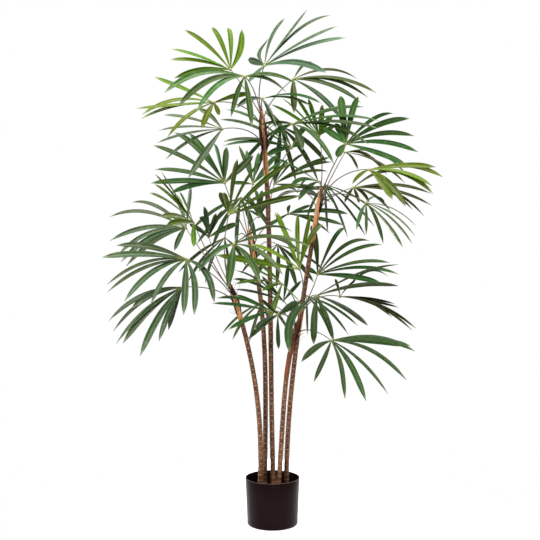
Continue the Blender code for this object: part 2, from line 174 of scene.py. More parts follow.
def sheet(bm, across, along, shape, closed=False):
    # a grid set out by shape(vert, u, v), with u across and v along; a closed one is joined into a tube
    made = bmesh.ops.create_grid(bm, x_segments=across, y_segments=along, size=0.5, calc_uvs=True)
    verts = made["verts"]
    for vert in verts:
        vert.co = shape(vert, vert.co.x + 0.5, vert.co.y + 0.5)
    if closed:
        ends = [vert for vert in verts if vert.is_boundary]
        bmesh.ops.remove_doubles(bm, verts=ends, dist=mergeGap)
        verts = [vert for vert in verts if vert.is_valid]
    return verts


def smooth(low, high, value):
    # an even rise from 0 to 1 between two values
    t = min(max((value - low) / (high - low), 0.0), 1.0)
    return t * t * (3 - 2 * t)


def cubic(points, t):
    # point and unit direction on a cubic curve of four points
    a, b, c, d = (Vector(point) for point in points)
    s = 1 - t
    place = a * s ** 3 + b * 3 * s * s * t + c * 3 * s * t * t + d * t ** 3
    along = (b - a) * s * s + (c - b) * 2 * s * t + (d - c) * t * t
    return place, along.normalized()


def crossAxes(along, towards):
    x = (towards - along * towards.dot(along)).normalized()
    return x, along.cross(x)


def spoke(axes, turn):
    return axes[0] * math.cos(turn) + axes[1] * math.sin(turn)


def waver(x, y, z):
    return noise.noise(Vector((x, y, z)))


def addTube(bm, points, radius, sides, steps, aim):
    def shape(vert, u, v):
        place, along = cubic(points, v)
        return place + spoke(crossAxes(along, aim), math.tau * u) * radius(v)

    sheet(bm, sides, steps, shape, closed=True)


# Small helpers for materials

def newMaterial(name):
    mat = bpy.data.materials.new(name)
    mat.use_nodes = True
    return mat, mat.node_tree, mat.node_tree.nodes["Principled BSDF"]


def feed(tree, socket, value):
    if isinstance(value, bpy.types.NodeSocket):
        tree.links.new(value, socket)
    elif isinstance(value, tuple) and len(value) == 3 and len(socket.default_value) == 4:
        socket.default_value = (*value, 1)
    else:
        socket.default_value = value


def sums(tree, kind, *values):
    node = tree.nodes.new("ShaderNodeMath")
    node.operation = kind
    for socket, value in zip(node.inputs, values):
        feed(tree, socket, value)
    return node.outputs[0]


def blend(tree, share, a, b):
    node = tree.nodes.new("ShaderNodeMix")
    node.data_type = "RGBA"
    node.clamp_factor = True
    feed(tree, node.inputs["Factor"], share)
    feed(tree, node.inputs[6], a)
    feed(tree, node.inputs[7], b)
    return node.outputs[2]


def ranged(tree, value, low, high, toLow=0.0, toHigh=1.0):
    node = tree.nodes.new("ShaderNodeMapRange")
    node.interpolation_type = "SMOOTHSTEP"
    feed(tree, node.inputs["Value"], value)
    node.inputs["From Min"].default_value = low
    node.inputs["From Max"].default_value = high
    node.inputs["To Min"].default_value = toLow
    node.inputs["To Max"].default_value = toHigh
    return node.outputs[0]


def cloud(tree, place, pace, detail=3.0, roughness=0.55):
    # noise, finer where its pace along x, y or z is higher
    mapping = tree.nodes.new("ShaderNodeMapping")
    mapping.inputs["Scale"].default_value = pace
    feed(tree, mapping.inputs["Vector"], place)
    node = tree.nodes.new("ShaderNodeTexNoise")
    node.inputs["Scale"].default_value = 1.0
    node.inputs["Detail"].default_value = detail
    node.inputs["Roughness"].default_value = roughness
    tree.links.new(mapping.outputs[0], node.inputs["Vector"])
    return node.outputs["Fac"]


def attribute(tree, name):
    node = tree.nodes.new("ShaderNodeAttribute")
    node.attribute_name = name
    return node.outputs["Fac"]


def objectPlace(tree):
    return tree.nodes.new("ShaderNodeTexCoord").outputs["Object"]


def sheetPlace(tree):
    # a sheet's own coordinates: together, across and along
    uv = tree.nodes.new("ShaderNodeUVMap").outputs[0]
    split = tree.nodes.new("ShaderNodeSeparateXYZ")
    tree.links.new(uv, split.inputs[0])
    return uv, split.outputs[0], split.outputs[1]


def relief(tree, shader, height, strength, depth):
    node = tree.nodes.new("ShaderNodeBump")
    node.inputs["Strength"].default_value = strength
    node.inputs["Distance"].default_value = depth
    feed(tree, node.inputs["Height"], height)
    tree.links.new(node.outputs[0], shader.inputs["Normal"])


# Canes

caneSizes = {
    "foot": 0.0088,          # radius
    "top": 0.0078,
    "tip": 0.0045,
    "tipLength": 0.05,
    "closing": (0.9985, 0.35),    # where along the cane its end closes, and to what share of its radius
    "level": 0.002,          # the share at the foot that is cut level with the fill
    "sides": 18,
    "step": 0.0017,
    "ringSpacing": 0.0200,
    "footRings": 0.030,      # run that the rings gain near the foot, where they stand closer
    "footReach": 0.150,
    "ringWander": 0.0035,
    "wanderPace": 23,
    "wanderSeed": 7.1,
    "ringTilt": 0.0011,
    "ringTilts": (0.3, 1.0),
    "mostRings": 200,
    "ringHeight": 0.0014,
    "ringWidth": 0.0016,
    "ringUneven": (0.75, 0.6),    # a ring's even height, and what its knobs add
    "flare": 0.0004,
    "knobs": 0.00035,
    "knobPace": (2, 45),     # round the cane and along it
    "knobSeed": 3,
    "sheathLift": 0.0009,
    "sheathThinning": 12,    # how fast the sheath thins out at the very top
    "sheathBlur": (0.004, 0.012),
    "sheathSlant": 0.010,
    "searchSteps": 40,
}

# each cane: foot, two handles, top, then the height where its smooth sheath starts and its redness
canes = {
    "left": ((-0.047, -0.026, 0.1183), (-0.026, -0.030, 0.42), (-0.078, -0.030, 0.66),
             (-0.153, -0.020, 0.875), 0.735, 0.25),
    "midleft": ((-0.029, 0.008, 0.1183), (-0.023, 0.012, 0.50), (-0.014, 0.030, 0.76),
                (-0.087, 0.045, 1.060), 0.950, 0.30),
    "tall": ((0.004, 0.024, 0.1183), (-0.013, 0.020, 0.60), (0.003, 0.020, 1.05),
             (-0.040, 0.010, 1.490), 1.235, 0.35),
    "midright": ((0.018, -0.030, 0.1183), (0.042, -0.040, 0.36), (0.030, -0.055, 0.60),
                 (0.103, -0.060, 0.770), 0.545, 0.95),
    "right": ((0.050, 0.000, 0.1183), (0.048, 0.004, 0.50), (0.114, 0.010, 0.85),
              (0.174, 0.020, 1.215), 1.010, 0.15),
}


def caneLength(cane):
    return (Vector(canes[cane][3]) - Vector(canes[cane][0])).length


def caneRadius(t):
    return caneSizes["foot"] + (caneSizes["top"] - caneSizes["foot"]) * t


def tipShare(cane, t):
    # how far t is along the cane's narrowing tip, or nothing below it
    start = 1 - caneSizes["tipLength"] / caneLength(cane)
    return (t - start) / (1 - start) if t > start else 0.0


def taperedRadius(cane, t):
    radius = caneRadius(t)
    return radius + (caneSizes["tip"] - radius) * tipShare(cane, t)


def caneAt(cane, height):
    # the curve value where a cane passes a height
    low, high = 0.0, 1.0
    for _ in range(caneSizes["searchSteps"]):
        middle = (low + high) / 2
        if cubic(canes[cane][:4], middle)[0].z < height:
            low = middle
        else:
            high = middle
    return low


def ringShare(run, seed, turn, tilts):
    # how far a point lies through its own stretch between rings, with the ring at the middle
    sizes = caneSizes
    run += sizes["footRings"] * (1 - math.exp(-run / sizes["footReach"]))
    run += sizes["ringWander"] * waver(run * sizes["wanderPace"], seed * sizes["wanderSeed"], 0)
    count = int(run / sizes["ringSpacing"])
    aim, lean = tilts[count]
    run += sizes["ringTilt"] * lean * math.cos(turn - aim)
    return run / sizes["ringSpacing"] - count


def sheathShare(place, start, turn, seed):
    # how much of the smooth sheath covers a point, from none on the ringed bark to all near the top
    below, above = caneSizes["sheathBlur"]
    height = place.z + caneSizes["sheathSlant"] * math.sin(turn + seed)
    return smooth(start - below, start + above, height)


def makeCane(cane, seed):
    sizes = caneSizes
    points = canes[cane][:4]
    sheathStart, red = canes[cane][4:]
    length = caneLength(cane)
    bm = bmesh.new()
    ringLayer, sheathLayer, redLayer = layers(bm, "ring", "sheath", "red")
    dice = random.Random(seed)
    tilts = [(dice.uniform(0, math.tau), dice.uniform(*sizes["ringTilts"]))
             for _ in range(sizes["mostRings"])]

    def shape(vert, u, v):
        place, along = cubic(points, v)
        if v < sizes["level"]:
            along = up
        turn = math.tau * u
        share = ringShare(length * v, seed, turn, tilts)
        off = (share - 0.5) * sizes["ringSpacing"] / sizes["ringWidth"]
        crest = math.exp(-off * off)
        bare = 1 - sheathShare(place, sheathStart, turn, seed)
        about, lengthwise = sizes["knobPace"]
        knobs = waver(math.cos(turn) * about, math.sin(turn) * about,
                      v * length * lengthwise + seed * sizes["knobSeed"])
        even, uneven = sizes["ringUneven"]
        ring = sizes["ringHeight"] * crest * (even + uneven * knobs)
        radius = taperedRadius(cane, v) + bare * (ring + sizes["flare"] * (0.5 - share))
        radius += sizes["knobs"] * knobs * bare
        radius += (1 - bare) * sizes["sheathLift"] * min(1.0, (1 - v) * sizes["sheathThinning"])
        closes, narrowed = sizes["closing"]
        if v > closes:
            radius *= narrowed
        vert[ringLayer] = crest * bare
        vert[sheathLayer] = 1 - bare
        vert[redLayer] = red
        return place + spoke(crossAxes(along, sideways), turn) * radius

    sheet(bm, sizes["sides"], int(length / sizes["step"]), shape, closed=True)
    capEnds(bm)
    thing = finishPiece("cane_" + cane + "_bark", bm, barkMaterial())
    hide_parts("cane_" + cane)


def capEnds(bm):
    rims = [edge for edge in bm.edges if edge.is_boundary]
    bmesh.ops.holes_fill(bm, edges=rims, sides=0)
    bmesh.ops.recalc_face_normals(bm, faces=bm.faces)


barkLook = {
    "brown": (0.122, 0.042, 0.015),
    "dark": (0.056, 0.018, 0.006),
    "ring": (0.46, 0.27, 0.16),
    "sheath": (0.88, 0.43, 0.17),
    "sheathDark": (0.200, 0.066, 0.020),
    "red": (0.190, 0.042, 0.014),
    "redDark": (0.090, 0.024, 0.008),
    "shine": 0.28,
    # patterns: pace along x, y and z, detail, roughness
    "patches": ((60, 60, 28), 4.0),
    "streaks": ((420, 420, 24), 3.0, 0.6),
    "grain": ((900, 900, 500), 2.0),
    "breaks": ((150, 150, 60), 2.0),
    "bands": ((150, 150, 7), 3.0, 0.55),
    # mixes: the pattern's values where one starts and ends, and its share at each
    "brownMix": (0.36, 0.62),
    "streakMix": (0.45, 0.75, 0.0, 0.55),
    "ringMix": (0.45, 0.92),
    "breakMix": (0.30, 0.55, 0.25, 1.0),
    "sheathMix": (0.42, 0.66),
    "redMix": (0.50, 0.80),
    "roughness": (0.2, 0.8, 0.42, 0.68),
    "streaksInBands": 0.25,
    "grainInRelief": 0.35,
    "relief": (0.55, 0.0006),    # strength and depth
}


def barkMaterial():
    if "bark" in bpy.data.materials:
        return bpy.data.materials["bark"]
    look = barkLook
    mat, tree, shader = newMaterial("bark")
    place = objectPlace(tree)
    patches, streaks, grain, breaks, bands = (
        cloud(tree, place, *look[name]) for name in ("patches", "streaks", "grain", "breaks", "bands"))
    brown = blend(tree, ranged(tree, patches, *look["brownMix"]), look["dark"], look["brown"])
    brown = blend(tree, ranged(tree, streaks, *look["streakMix"]), brown, look["ring"])
    ring = ranged(tree, attribute(tree, "ring"), *look["ringMix"])
    broken = ranged(tree, breaks, *look["breakMix"])
    brown = blend(tree, sums(tree, "MULTIPLY", ring, broken), brown, look["ring"])
    bands = sums(tree, "ADD", bands, sums(tree, "MULTIPLY", streaks, look["streaksInBands"]))
    skin = blend(tree, ranged(tree, bands, *look["sheathMix"]), look["sheathDark"], look["sheath"])
    red = blend(tree, ranged(tree, bands, *look["redMix"]), look["redDark"], look["red"])
    skin = blend(tree, attribute(tree, "red"), skin, red)
    feed(tree, shader.inputs["Base Color"], blend(tree, attribute(tree, "sheath"), brown, skin))
    feed(tree, shader.inputs["Roughness"], ranged(tree, streaks, *look["roughness"]))
    height = sums(tree, "ADD", streaks, sums(tree, "MULTIPLY", grain, look["grainInRelief"]))
    relief(tree, shader, height, *look["relief"])
    feed(tree, shader.inputs["Specular IOR Level"], look["shine"])
    return mat


# Fronds: stalks, knots and leaflets, grown by the same rule as their solids

frondSizes = {
    "stalkRadius": 0.0019,
    "stalkLean": 0.45,       # how far outwards a stalk leaves its cane
    "stalkReach": 0.38,      # its first and second handle
    "stalkBend": 0.75,
    "stalkArch": 0.12,
    "stalkStart": 0.03,      # how far off the cane's middle its foot is looked for
    "gap": 0.0003,
    "stalkTurns": (0, 25, -25, 50, -50, 75, -75, 100, -100, 130, -130),
    "leafRoot": 0.004,
    "leafDroop": 2.4,        # the power that the sag grows by
    "leafTwist": 22.0,       # most that a leaflet leans about its length, in degrees
    "leafBreadths": (0.85, 1.2),
    "leafLeans": (0, 0.06, -0.06, 0.12, -0.12, 0.18, -0.18, 0.25, -0.25, 0.33, -0.33, 0.42, -0.42),
    "frondSeed": 1000,
    "same": 0.0006,          # a solid's corner within this is the one looked for
}

# each frond: cane, height on it, knot, where its face looks in degrees, sag, leaflet width in mm, tone,
# and its leaflets as degrees round the face and length in mm, with a sag of its own where it has one
fronds = (
    ("tall", 1.470, (-0.149, 0.060, 1.627), (30, 15), 0.15, 17, "lime",
     {66: (170, 0), 84: (255, 0.35), 102: (220, 0.25), 132: 235, 155: 240, 165: 235, 182: 220}),
    ("tall", 1.485, (-0.028, -0.100, 1.624), (-30, 15), 0.15, 19, "blue",
     {0: 235, 24: 320, 34: 305, 52: (350, 0.3), 54: (235, 0), 76: 205, 91: 115, 153: 80, 224: (80, 0)}),
    ("tall", 1.450, (-0.092, -0.260, 1.571), (30, 30), 0.40, 20, "mid",
     {10: 170, 13: (220, 0.25), 168: 280, 170: (235, 0.6), 181: (175, 0.65), 232: 125, 267: (120, 0.5)}),
    ("tall", 1.460, (0.074, 0.040, 1.592), (-15, 45), 0.30, 17, "olive",
     {6: 155, 10: 295, 12: (265, 0.4), 37: (260, 0.4), 77: 185, 281: 125, 324: (235, 0.2), 355: 245}),
    ("tall", 1.420, (-0.195, -0.200, 1.491), (30, 30), 0.10, 16, "lime",
     {22: 170, 155: (215, 0), 169: (255, 0.35), 182: (265, 0.2), 187: (290, 0), 198: (195, 0.35),
      226: (90, 0.35), 279: 45}),
    ("tall", 1.360, (-0.172, -0.120, 1.408), (30, 30), 0.15, 18, "grey",
     {117: (130, 0.25), 156: 215, 173: 230, 184: 245, 194: (230, 0.25), 223: 225}),
    ("tall", 1.480, (-0.037, -0.020, 1.519), (-45, 30), 0.25, 16, "dark",
     {6: 220, 9: 265, 173: 140, 323: 140}),
    ("tall", 1.400, (0.068, -0.120, 1.425), (-30, 45), 0.20, 20, "dark",
     {3: (280, 0.3), 11: 300, 18: 305, 36: 265, 164: 165, 202: 75, 308: 120, 339: (195, 0.45)}),
    ("tall", 1.200, (0.069, 0.120, 1.352), (30, 30), 0.25, 17, "dark",
     {36: 80, 55: (220, 0.35), 102: 230, 128: 325, 139: 315, 158: 270, 162: 270, 182: 105}),
    ("tall", 1.120, (0.007, 0.100, 1.222), (-45, 45), 0.25, 16, "olive",
     {40: 220, 51: (240, 0.15), 53: 250, 91: 255, 108: 230, 359: (210, 0.05)}),
    ("right", 1.180, (0.174, 0.240, 1.401), (-45, -45), 0.15, 14, "lime",
     {30: 135, 42: 200, 53: (185, 0), 67: 245, 80: 240, 97: 240, 116: 235}),
    ("right", 1.190, (0.247, -0.160, 1.356), (0, 0), 0.25, 20, "vivid",
     {8: 245, 21: 245, 35: 260, 50: (245, 0.35), 79: 215, 95: 215, 112: 100, 142: (95, 0.05), 226: 45,
      344: (210, 0.05)}),
    ("right", 1.170, (0.264, 0.140, 1.337), (-30, 45), 0.45, 14, "brown",
     {8: (160, 0.6), 10: (105, 0.3), 21: (245, 0.65), 339: (65, 0.7), 352: (250, 0.35)}),
    ("right", 1.160, (0.319, -0.240, 1.268), (-30, 60), 0.30, 20, "lime",
     {5: (220, 0.4), 6: 215, 22: (220, 0.15), 24: 245, 221: (60, 0.45), 321: 155, 327: 205}),
    ("right", 1.140, (0.287, 0.020, 1.209), (-15, 30), 0.50, 13, "brown",
     {5: (275, 0.3), 7: 250, 9: 210, 15: (280, 0.3), 46: 265, 231: 45, 303: 45, 348: (60, 0.7),
      353: 135}),
    ("right", 1.150, (0.318, -0.140, 1.157), (15, 60), 0.42, 16, "mid",
     {52: 180, 235: 105, 253: 115, 282: (120, 0.62), 289: (205, 0.22), 316: 175, 333: 170, 358: 180}),
    ("right", 1.195, (0.156, -0.100, 1.229), (-60, -45), 0.25, 16, "vivid",
     {55: 205, 127: (220, 0.15), 159: (135, 0.35), 191: 170, 280: 80}),
    ("right", 1.120, (0.093, 0.200, 1.195), (-60, 30), 0.20, 14, "dark",
     {2: 215, 5: 130, 15: 215, 91: (100, 0.45), 161: 155, 180: 165}),
    ("midleft", 1.045, (-0.072, 0.200, 1.222), (15, 45), 0.05, 15, "dark",
     {44: 215, 54: 215, 73: 195, 87: 200, 94: 225, 172: 80}),
    ("midleft", 1.030, (-0.167, -0.060, 1.225), (30, 30), 0.15, 19, "dark",
     {38: (185, 0), 72: (155, 0), 84: (250, 0.3), 103: (295, 0.25), 112: (320, 0.25), 138: 300, 158: 260,
      177: (275, 0.05), 181: 205}),
    ("midleft", 1.050, (-0.049, 0.160, 1.101), (-15, 60), 0.10, 14, "dark",
     {91: 190, 101: 250, 107: 270, 117: 220, 130: 85}),
    ("midleft", 1.000, (0.057, 0.120, 1.113), (-15, 60), 0.15, 17, "dark",
     {18: 220, 43: (95, 0), 101: 90, 231: (120, 0.05), 352: (160, 0.35), 356: 210}),
    ("midleft", 0.980, (-0.127, -0.280, 1.024), (-45, 45), 0.45, 20, "mid",
     {3: 215, 29: (280, 0.35), 38: (255, 0.55), 61: 245, 196: 150, 296: 125, 335: (205, 0.25)}),
    ("left", 0.865, (-0.146, -0.200, 1.119), (-30, 30), 0.20, 18, "olive",
     {23: (265, 0.1), 39: 285, 60: 315, 81: 275, 101: 290, 119: (105, 0.05), 123: 140}),
    ("left", 0.850, (-0.268, -0.160, 1.091), (75, 30), 0.12, 14, "lime",
     {66: 155, 101: (200, 0), 108: 230, 117: (225, 0.2), 136: (250, 0.2), 165: 240, 172: 220, 215: 125}),
    ("left", 0.860, (-0.311, 0.060, 1.064), (30, 30), 0.35, 18, "grey",
     {71: (225, 0.15), 90: 235, 127: 270, 146: 310, 166: 285, 179: 260, 180: (250, 0.45), 191: 245,
      217: (70, 0.6)}),
    ("left", 0.870, (-0.235, 0.160, 1.027), (45, -45), 0.05, 17, "dark",
     {41: 120, 102: 155, 110: 145, 127: 225, 131: (235, 0.2), 149: 170}),
    ("left", 0.835, (-0.291, -0.200, 0.969), (15, 30), 0.38, 20, "grey",
     {155: (250, 0.18), 166: (285, 0.18), 175: 265, 181: 265, 190: (215, 0.48), 209: (145, 0.58),
      261: 145, 275: 145, 309: 135}),
    ("left", 0.815, (-0.319, -0.020, 0.857), (0, 30), 0.42, 19, "grey",
     {182: 260, 184: (245, 0.57), 186: (180, 0.32), 204: 250, 208: 230, 229: 215, 240: 155,
      243: (100, 0.67)}),
    ("right", 0.800, (0.091, -0.160, 0.932), (15, 30), 0.05, 15, "lime",
     {65: (300, 0.3), 72: 235, 83: 235, 101: 240, 103: 240, 139: (200, 0.15), 165: 290}),
    ("right", 0.790, (0.162, 0.040, 0.899), (-15, 15), 0.25, 18, "dark",
     {2: (230, 0.15), 16: 300, 25: 280, 40: 290, 55: (305, 0.4), 74: (310, 0.4), 99: 245,
      151: (55, 0.05)}),
    ("right", 0.750, (0.148, -0.220, 0.848), (30, -45), 0.20, 23, "mid",
     {24: 300, 49: 320, 268: 235, 291: 215, 310: 240, 339: 275}),
    ("right", 0.770, (0.249, 0.140, 0.809), (0, 15), 0.30, 15, "brown",
     {0: (190, 0.4), 53: (305, 0.55), 57: 110, 101: 95, 353: 280, 355: (215, 0.1), 356: (265, 0.4),
      358: (200, 0.1)}),
    ("midright", 0.700, (0.203, -0.120, 0.682), (0, -45), 0.35, 20, "mid",
     {8: (270, 0.15), 22: 300, 202: (110, 0.45), 250: 160, 285: 225, 305: (230, 0.45), 322: 265,
      353: (265, 0.45)}),
    ("midright", 0.730, (0.038, -0.080, 0.815), (-45, -30), 0.15, 14, "dark",
     {36: (160, 0), 58: (190, 0), 116: (120, 0.05), 127: (235, 0.25), 140: (230, 0.25), 161: 220}),
    ("midright", 0.740, (0.031, -0.200, 0.885), (-45, -45), 0.10, 15, "lime",
     {105: 150, 130: 145, 168: (200, 0.2), 184: (100, 0.25), 225: (275, 0), 292: 85}),
    ("midright", 0.715, (-0.007, -0.160, 0.791), (60, 60), 0.10, 18, "dark",
     {115: (205, 0.25), 123: (130, 0), 149: 235, 182: 285}),
    ("midright", 0.700, (0.017, -0.240, 0.785), (-60, -15), 0.05, 18, "dark",
     {24: 175, 149: 100, 199: 195, 202: 275, 248: 130}),
    # The fronds at the back, which fill the crown out behind the canes
    ("tall", 1.340, (0.030, 0.300, 1.440), (180, 55), 0.28, 18, "dark",
     {215: 220, 235: 240, 255: 250, 275: 260, 295: 240, 315: 220}),
    ("right", 1.100, (0.200, 0.300, 1.220), (150, 55), 0.28, 18, "mid",
     {205: 200, 230: 220, 250: 240, 270: 240, 290: 230, 315: 200}),
    ("midleft", 0.960, (-0.120, 0.300, 1.170), (205, 55), 0.28, 18, "mid",
     {215: 200, 235: 230, 255: 240, 280: 240, 300: 230, 325: 200}),
    ("midleft", 0.930, (0.020, 0.340, 0.990), (175, 60), 0.28, 17, "dark",
     {210: 210, 235: 230, 255: 240, 275: 240, 300: 230, 320: 200}),
    ("left", 0.800, (-0.180, 0.260, 1.020), (210, 60), 0.28, 18, "dark",
     {220: 200, 240: 220, 265: 240, 285: 230, 310: 200}),
    ("right", 0.720, (0.130, 0.260, 0.800), (160, 60), 0.28, 18, "dark",
     {215: 210, 240: 230, 260: 240, 285: 230, 310: 210}),
    ("midright", 0.680, (-0.040, 0.190, 0.780), (195, 60), 0.28, 17, "mid",
     {225: 190, 245: 210, 270: 220, 290: 210, 310: 190}),
)

leafFinish = {
    "across": 6,
    "along": 18,
    "crowding": 1.25,        # more faces towards the tip
    "thickness": 0.0005,
    "breadth": 1.06,
    "rootWidth": 0.18,
    "rootLead": 0.08,        # how far before the knot the strap starts to widen
    "full": 0.58,            # where along it the strap reaches its width, and where it starts to narrow
    "narrowing": 0.62,
    "fold": 0.26,            # depth of the middle groove, as a share of the half width
    "pleat": 0.09,           # height of the ribs, as a share of the half width
    "pleats": 3,             # half ribs on each side of the middle
    "roll": 18.0,            # most that a leaflet turns over by its tip, in degrees
    "turnedRoll": 0.3,       # the share of it that is left on one turned to the front
    "slender": 0.6,          # one that shows less than this share is made narrower too
    "bow": 0.022,            # most that it curves sideways, as a share of its length
    "tipTaper": (2.8, 4.4),    # from a pointed to a blunt tip
    "tipWidth": 0.0011,
    "stalkThin": 0.0017,
    "stalkTaper": (1.25, 0.35),
    "stalkSides": 7,
    "stalkSteps": 22,
    "knot": 0.0056,
    "knotFlat": 0.75,
    "knotDetail": 2,
}

# leaflets that curve sideways: frond and clock, then how far as a share of the length, anticlockwise positive
bends = {
    (1, 66): -0.08, (1, 84): -0.02, (1, 102): -0.01,
    (2, 91): 0.34, (2, 76): 0.10, (2, 0): 0.05,
    (28, 309): 0.16, (28, 275): 0.10,
    (32, 268): -0.17,
    (34, 250): 0.05, (34, 285): 0.04,
}

# how broad leaflets look from the front, as a share of their width: frond, then first and last clock
# and the share; under 1 a leaflet turns its edge that way, over 1 it is broader
shown = {
    1: ((60, 70, 1.2), (80, 105, 0.90), (120, 140, 0.9), (141, 170, 0.84)),
    2: ((20, 28, 0.82), (29, 50, 0.75), (51, 60, 0.62), (90, 92, 1.25), (0, 5, 0.95)),
    3: ((0, 20, 0.95), (165, 172, 1.0), (175, 185, 0.90)),
    4: ((0, 20, 0.85), (30, 50, 0.85), (275, 290, 1.2), (320, 360, 0.90)),
    5: ((20, 25, 0.66), (150, 200, 0.84)),
    6: ((110, 125, 1.0), (126, 200, 0.68)),
    7: ((0, 360, 0.72),),
    8: ((0, 20, 0.74), (21, 50, 1.3), (340, 360, 0.74)),
    9: ((130, 165, 0.78),),
    10: ((35, 45, 1.25),),
    11: ((0, 360, 1.3),),
    12: ((0, 60, 0.62), (70, 110, 1.1), (340, 360, 0.72)),
    13: ((0, 360, 0.74),),
    14: ((0, 360, 1.12),),
    15: ((0, 20, 0.90), (340, 360, 0.90)),
    16: ((230, 240, 0.75), (245, 295, 0.70), (300, 360, 0.55)),
    20: ((30, 45, 1.4), (70, 75, 0.9), (135, 180, 1.25)),
    23: ((0, 65, 0.62), (180, 300, 1.35)),
    25: ((100, 135, 1.25), (136, 360, 1.3)),
    26: ((120, 150, 0.75),),
    28: ((170, 185, 0.74), (186, 280, 0.95)),
    30: ((60, 75, 0.82), (130, 145, 0.86), (160, 170, 1.3)),
    31: ((10, 30, 0.72), (35, 80, 0.90)),
    33: ((0, 360, 0.50),),
    34: ((0, 30, 1.25), (195, 210, 1.3), (300, 310, 0.64), (315, 325, 1.25), (350, 360, 0.52)),
    37: ((110, 150, 1.3), (175, 190, 0.8)),
    38: ((0, 360, 1.2),),
    40: ((0, 360, 0.36),),
    41: ((0, 360, 0.6),),
    43: ((0, 360, 0.45),),
    44: ((0, 360, 0.45),),
    45: ((0, 360, 0.42),),
}

# leaflets that turn their whole face to the front
facing = {(23, 296), (23, 335), (25, 215), (27, 110), (27, 41), (24, 23), (30, 165)}

# fronds, or leaflets by frond and clock, of another colour than their tone, partly painted light:
# frond 11 is painted lighter though it stands in shade at the back.
# How much lighter, as a share of the tone's range, and how far their hue turns
ownColourAndLight = {
    2: (0.2, 0), 5: (0, -0.018), 8: (-0.2, 0), 10: (0.4, 0), 11: (1.0, 0), 12: (0.3, 0), 14: (-0.5, 0),
    23: (-0.15, 0), 25: (0.1, 0), 30: (0.5, -0.02), 36: (0.7, -0.015),
    (2, 0): (0, 0.03), (4, 324): (-0.1, 0.14), (4, 355): (0.1, 0.06), (8, 11): (-0.2, 0),
    (23, 3): (-0.35, 0), (23, 29): (-0.6, -0.01), (23, 38): (-0.5, -0.01), (23, 61): (-0.6, 0),
    (23, 196): (0, 0.02), (23, 296): (0, 0.02), (23, 335): (0.1, 0.02),
    (30, 139): (-0.2, -0.01), (30, 165): (-0.2, -0.01), (32, 49): (-0.2, 0),
}


def shownShare(number, clock):
    for first, last, share in shown.get(number, ()):
        if first <= clock <= last:
            return share
    return 1.0


def leafColour(number, clock, shade):
    # the shade with the frond's and the leaflet's own lightening, partly painted light, and their turn in hue
    colours = ((shade, 0), ownColourAndLight.get(number, (0, 0)), ownColourAndLight.get((number, clock), (0, 0)))
    return (sum(values) for values in zip(*colours))


def faceAxes(face):
    around, rise = (math.radians(angle) for angle in face)
    normal = Vector((math.sin(around) * math.cos(rise), -math.cos(around) * math.cos(rise), math.sin(rise)))
    right = Vector((math.cos(around), math.sin(around), 0))
    return normal, right, normal.cross(right)


def leafWidth(t, taper):
    root = leafFinish["rootWidth"]
    start = leafFinish["narrowing"]
    spread = root + (1 - root) * smooth(-leafFinish["rootLead"], leafFinish["full"], t)
    return spread * (1 - max(0.0, (t - start) / (1 - start)) ** taper)


def stalkPoints(cane, bark, height, knot, turn):
    centre, along = cubic(canes[cane][:4], caneAt(cane, height))
    out = Matrix.Rotation(math.radians(turn), 3, "Z") @ Vector((knot.x - centre.x, knot.y - centre.y, 0))
    out = (out - along * out.dot(along)).normalized()
    meeting = bark.ray_cast(centre + out * frondSizes["stalkStart"], -out)[0]
    foot = meeting + out * (frondSizes["gap"] + frondSizes["stalkRadius"])
    lift = (along + out * frondSizes["stalkLean"]).normalized() * (knot - foot).length
    bend = foot.lerp(knot, frondSizes["stalkBend"]) + lift * frondSizes["stalkArch"]
    return (foot, foot + lift * frondSizes["stalkReach"], bend, knot), out


def growStalk(cane, bark, height, knot, corners):
    # the turn that the stalk's solid took
    for turn in frondSizes["stalkTurns"]:
        points, out = stalkPoints(cane, bark, height, knot, turn)
        corner = points[0] + crossAxes(cubic(points, 0)[1], -out)[0] * frondSizes["stalkRadius"]
        if corners.find(corner)[2] < frondSizes["same"]:
            return points, out
    return stalkPoints(cane, bark, height, knot, 0)


def growHeading(knot, face, sag, clock, length, corners):
    # the lean that the leaflet's solid took
    normal, right, upward = faceAxes(face)
    turn = math.radians(clock)
    for lean in frondSizes["leafLeans"]:
        heading = right * math.cos(turn) + upward * math.sin(turn) + Vector((0, lean, 0))
        tip = knot + (heading - up * sag) * length
        if corners.find(tip)[2] < frondSizes["same"]:
            return heading
    return None


def edgeOn(heading, normal, share):
    # which way across a leaflet lies when the front shows only a share of its width
    seen = Vector(studio["camera"]).normalized().cross(heading).normalized()
    away = heading.cross(seen).normalized()
    turn = math.acos(share)
    sides = [seen * math.cos(turn) + away * math.sin(turn) * way for way in (1, -1)]
    flattest = max(sides, key=lambda side: abs(side.cross(heading).normalized().dot(normal)))
    return flattest if flattest.dot(normal.cross(heading)) > 0 else -flattest


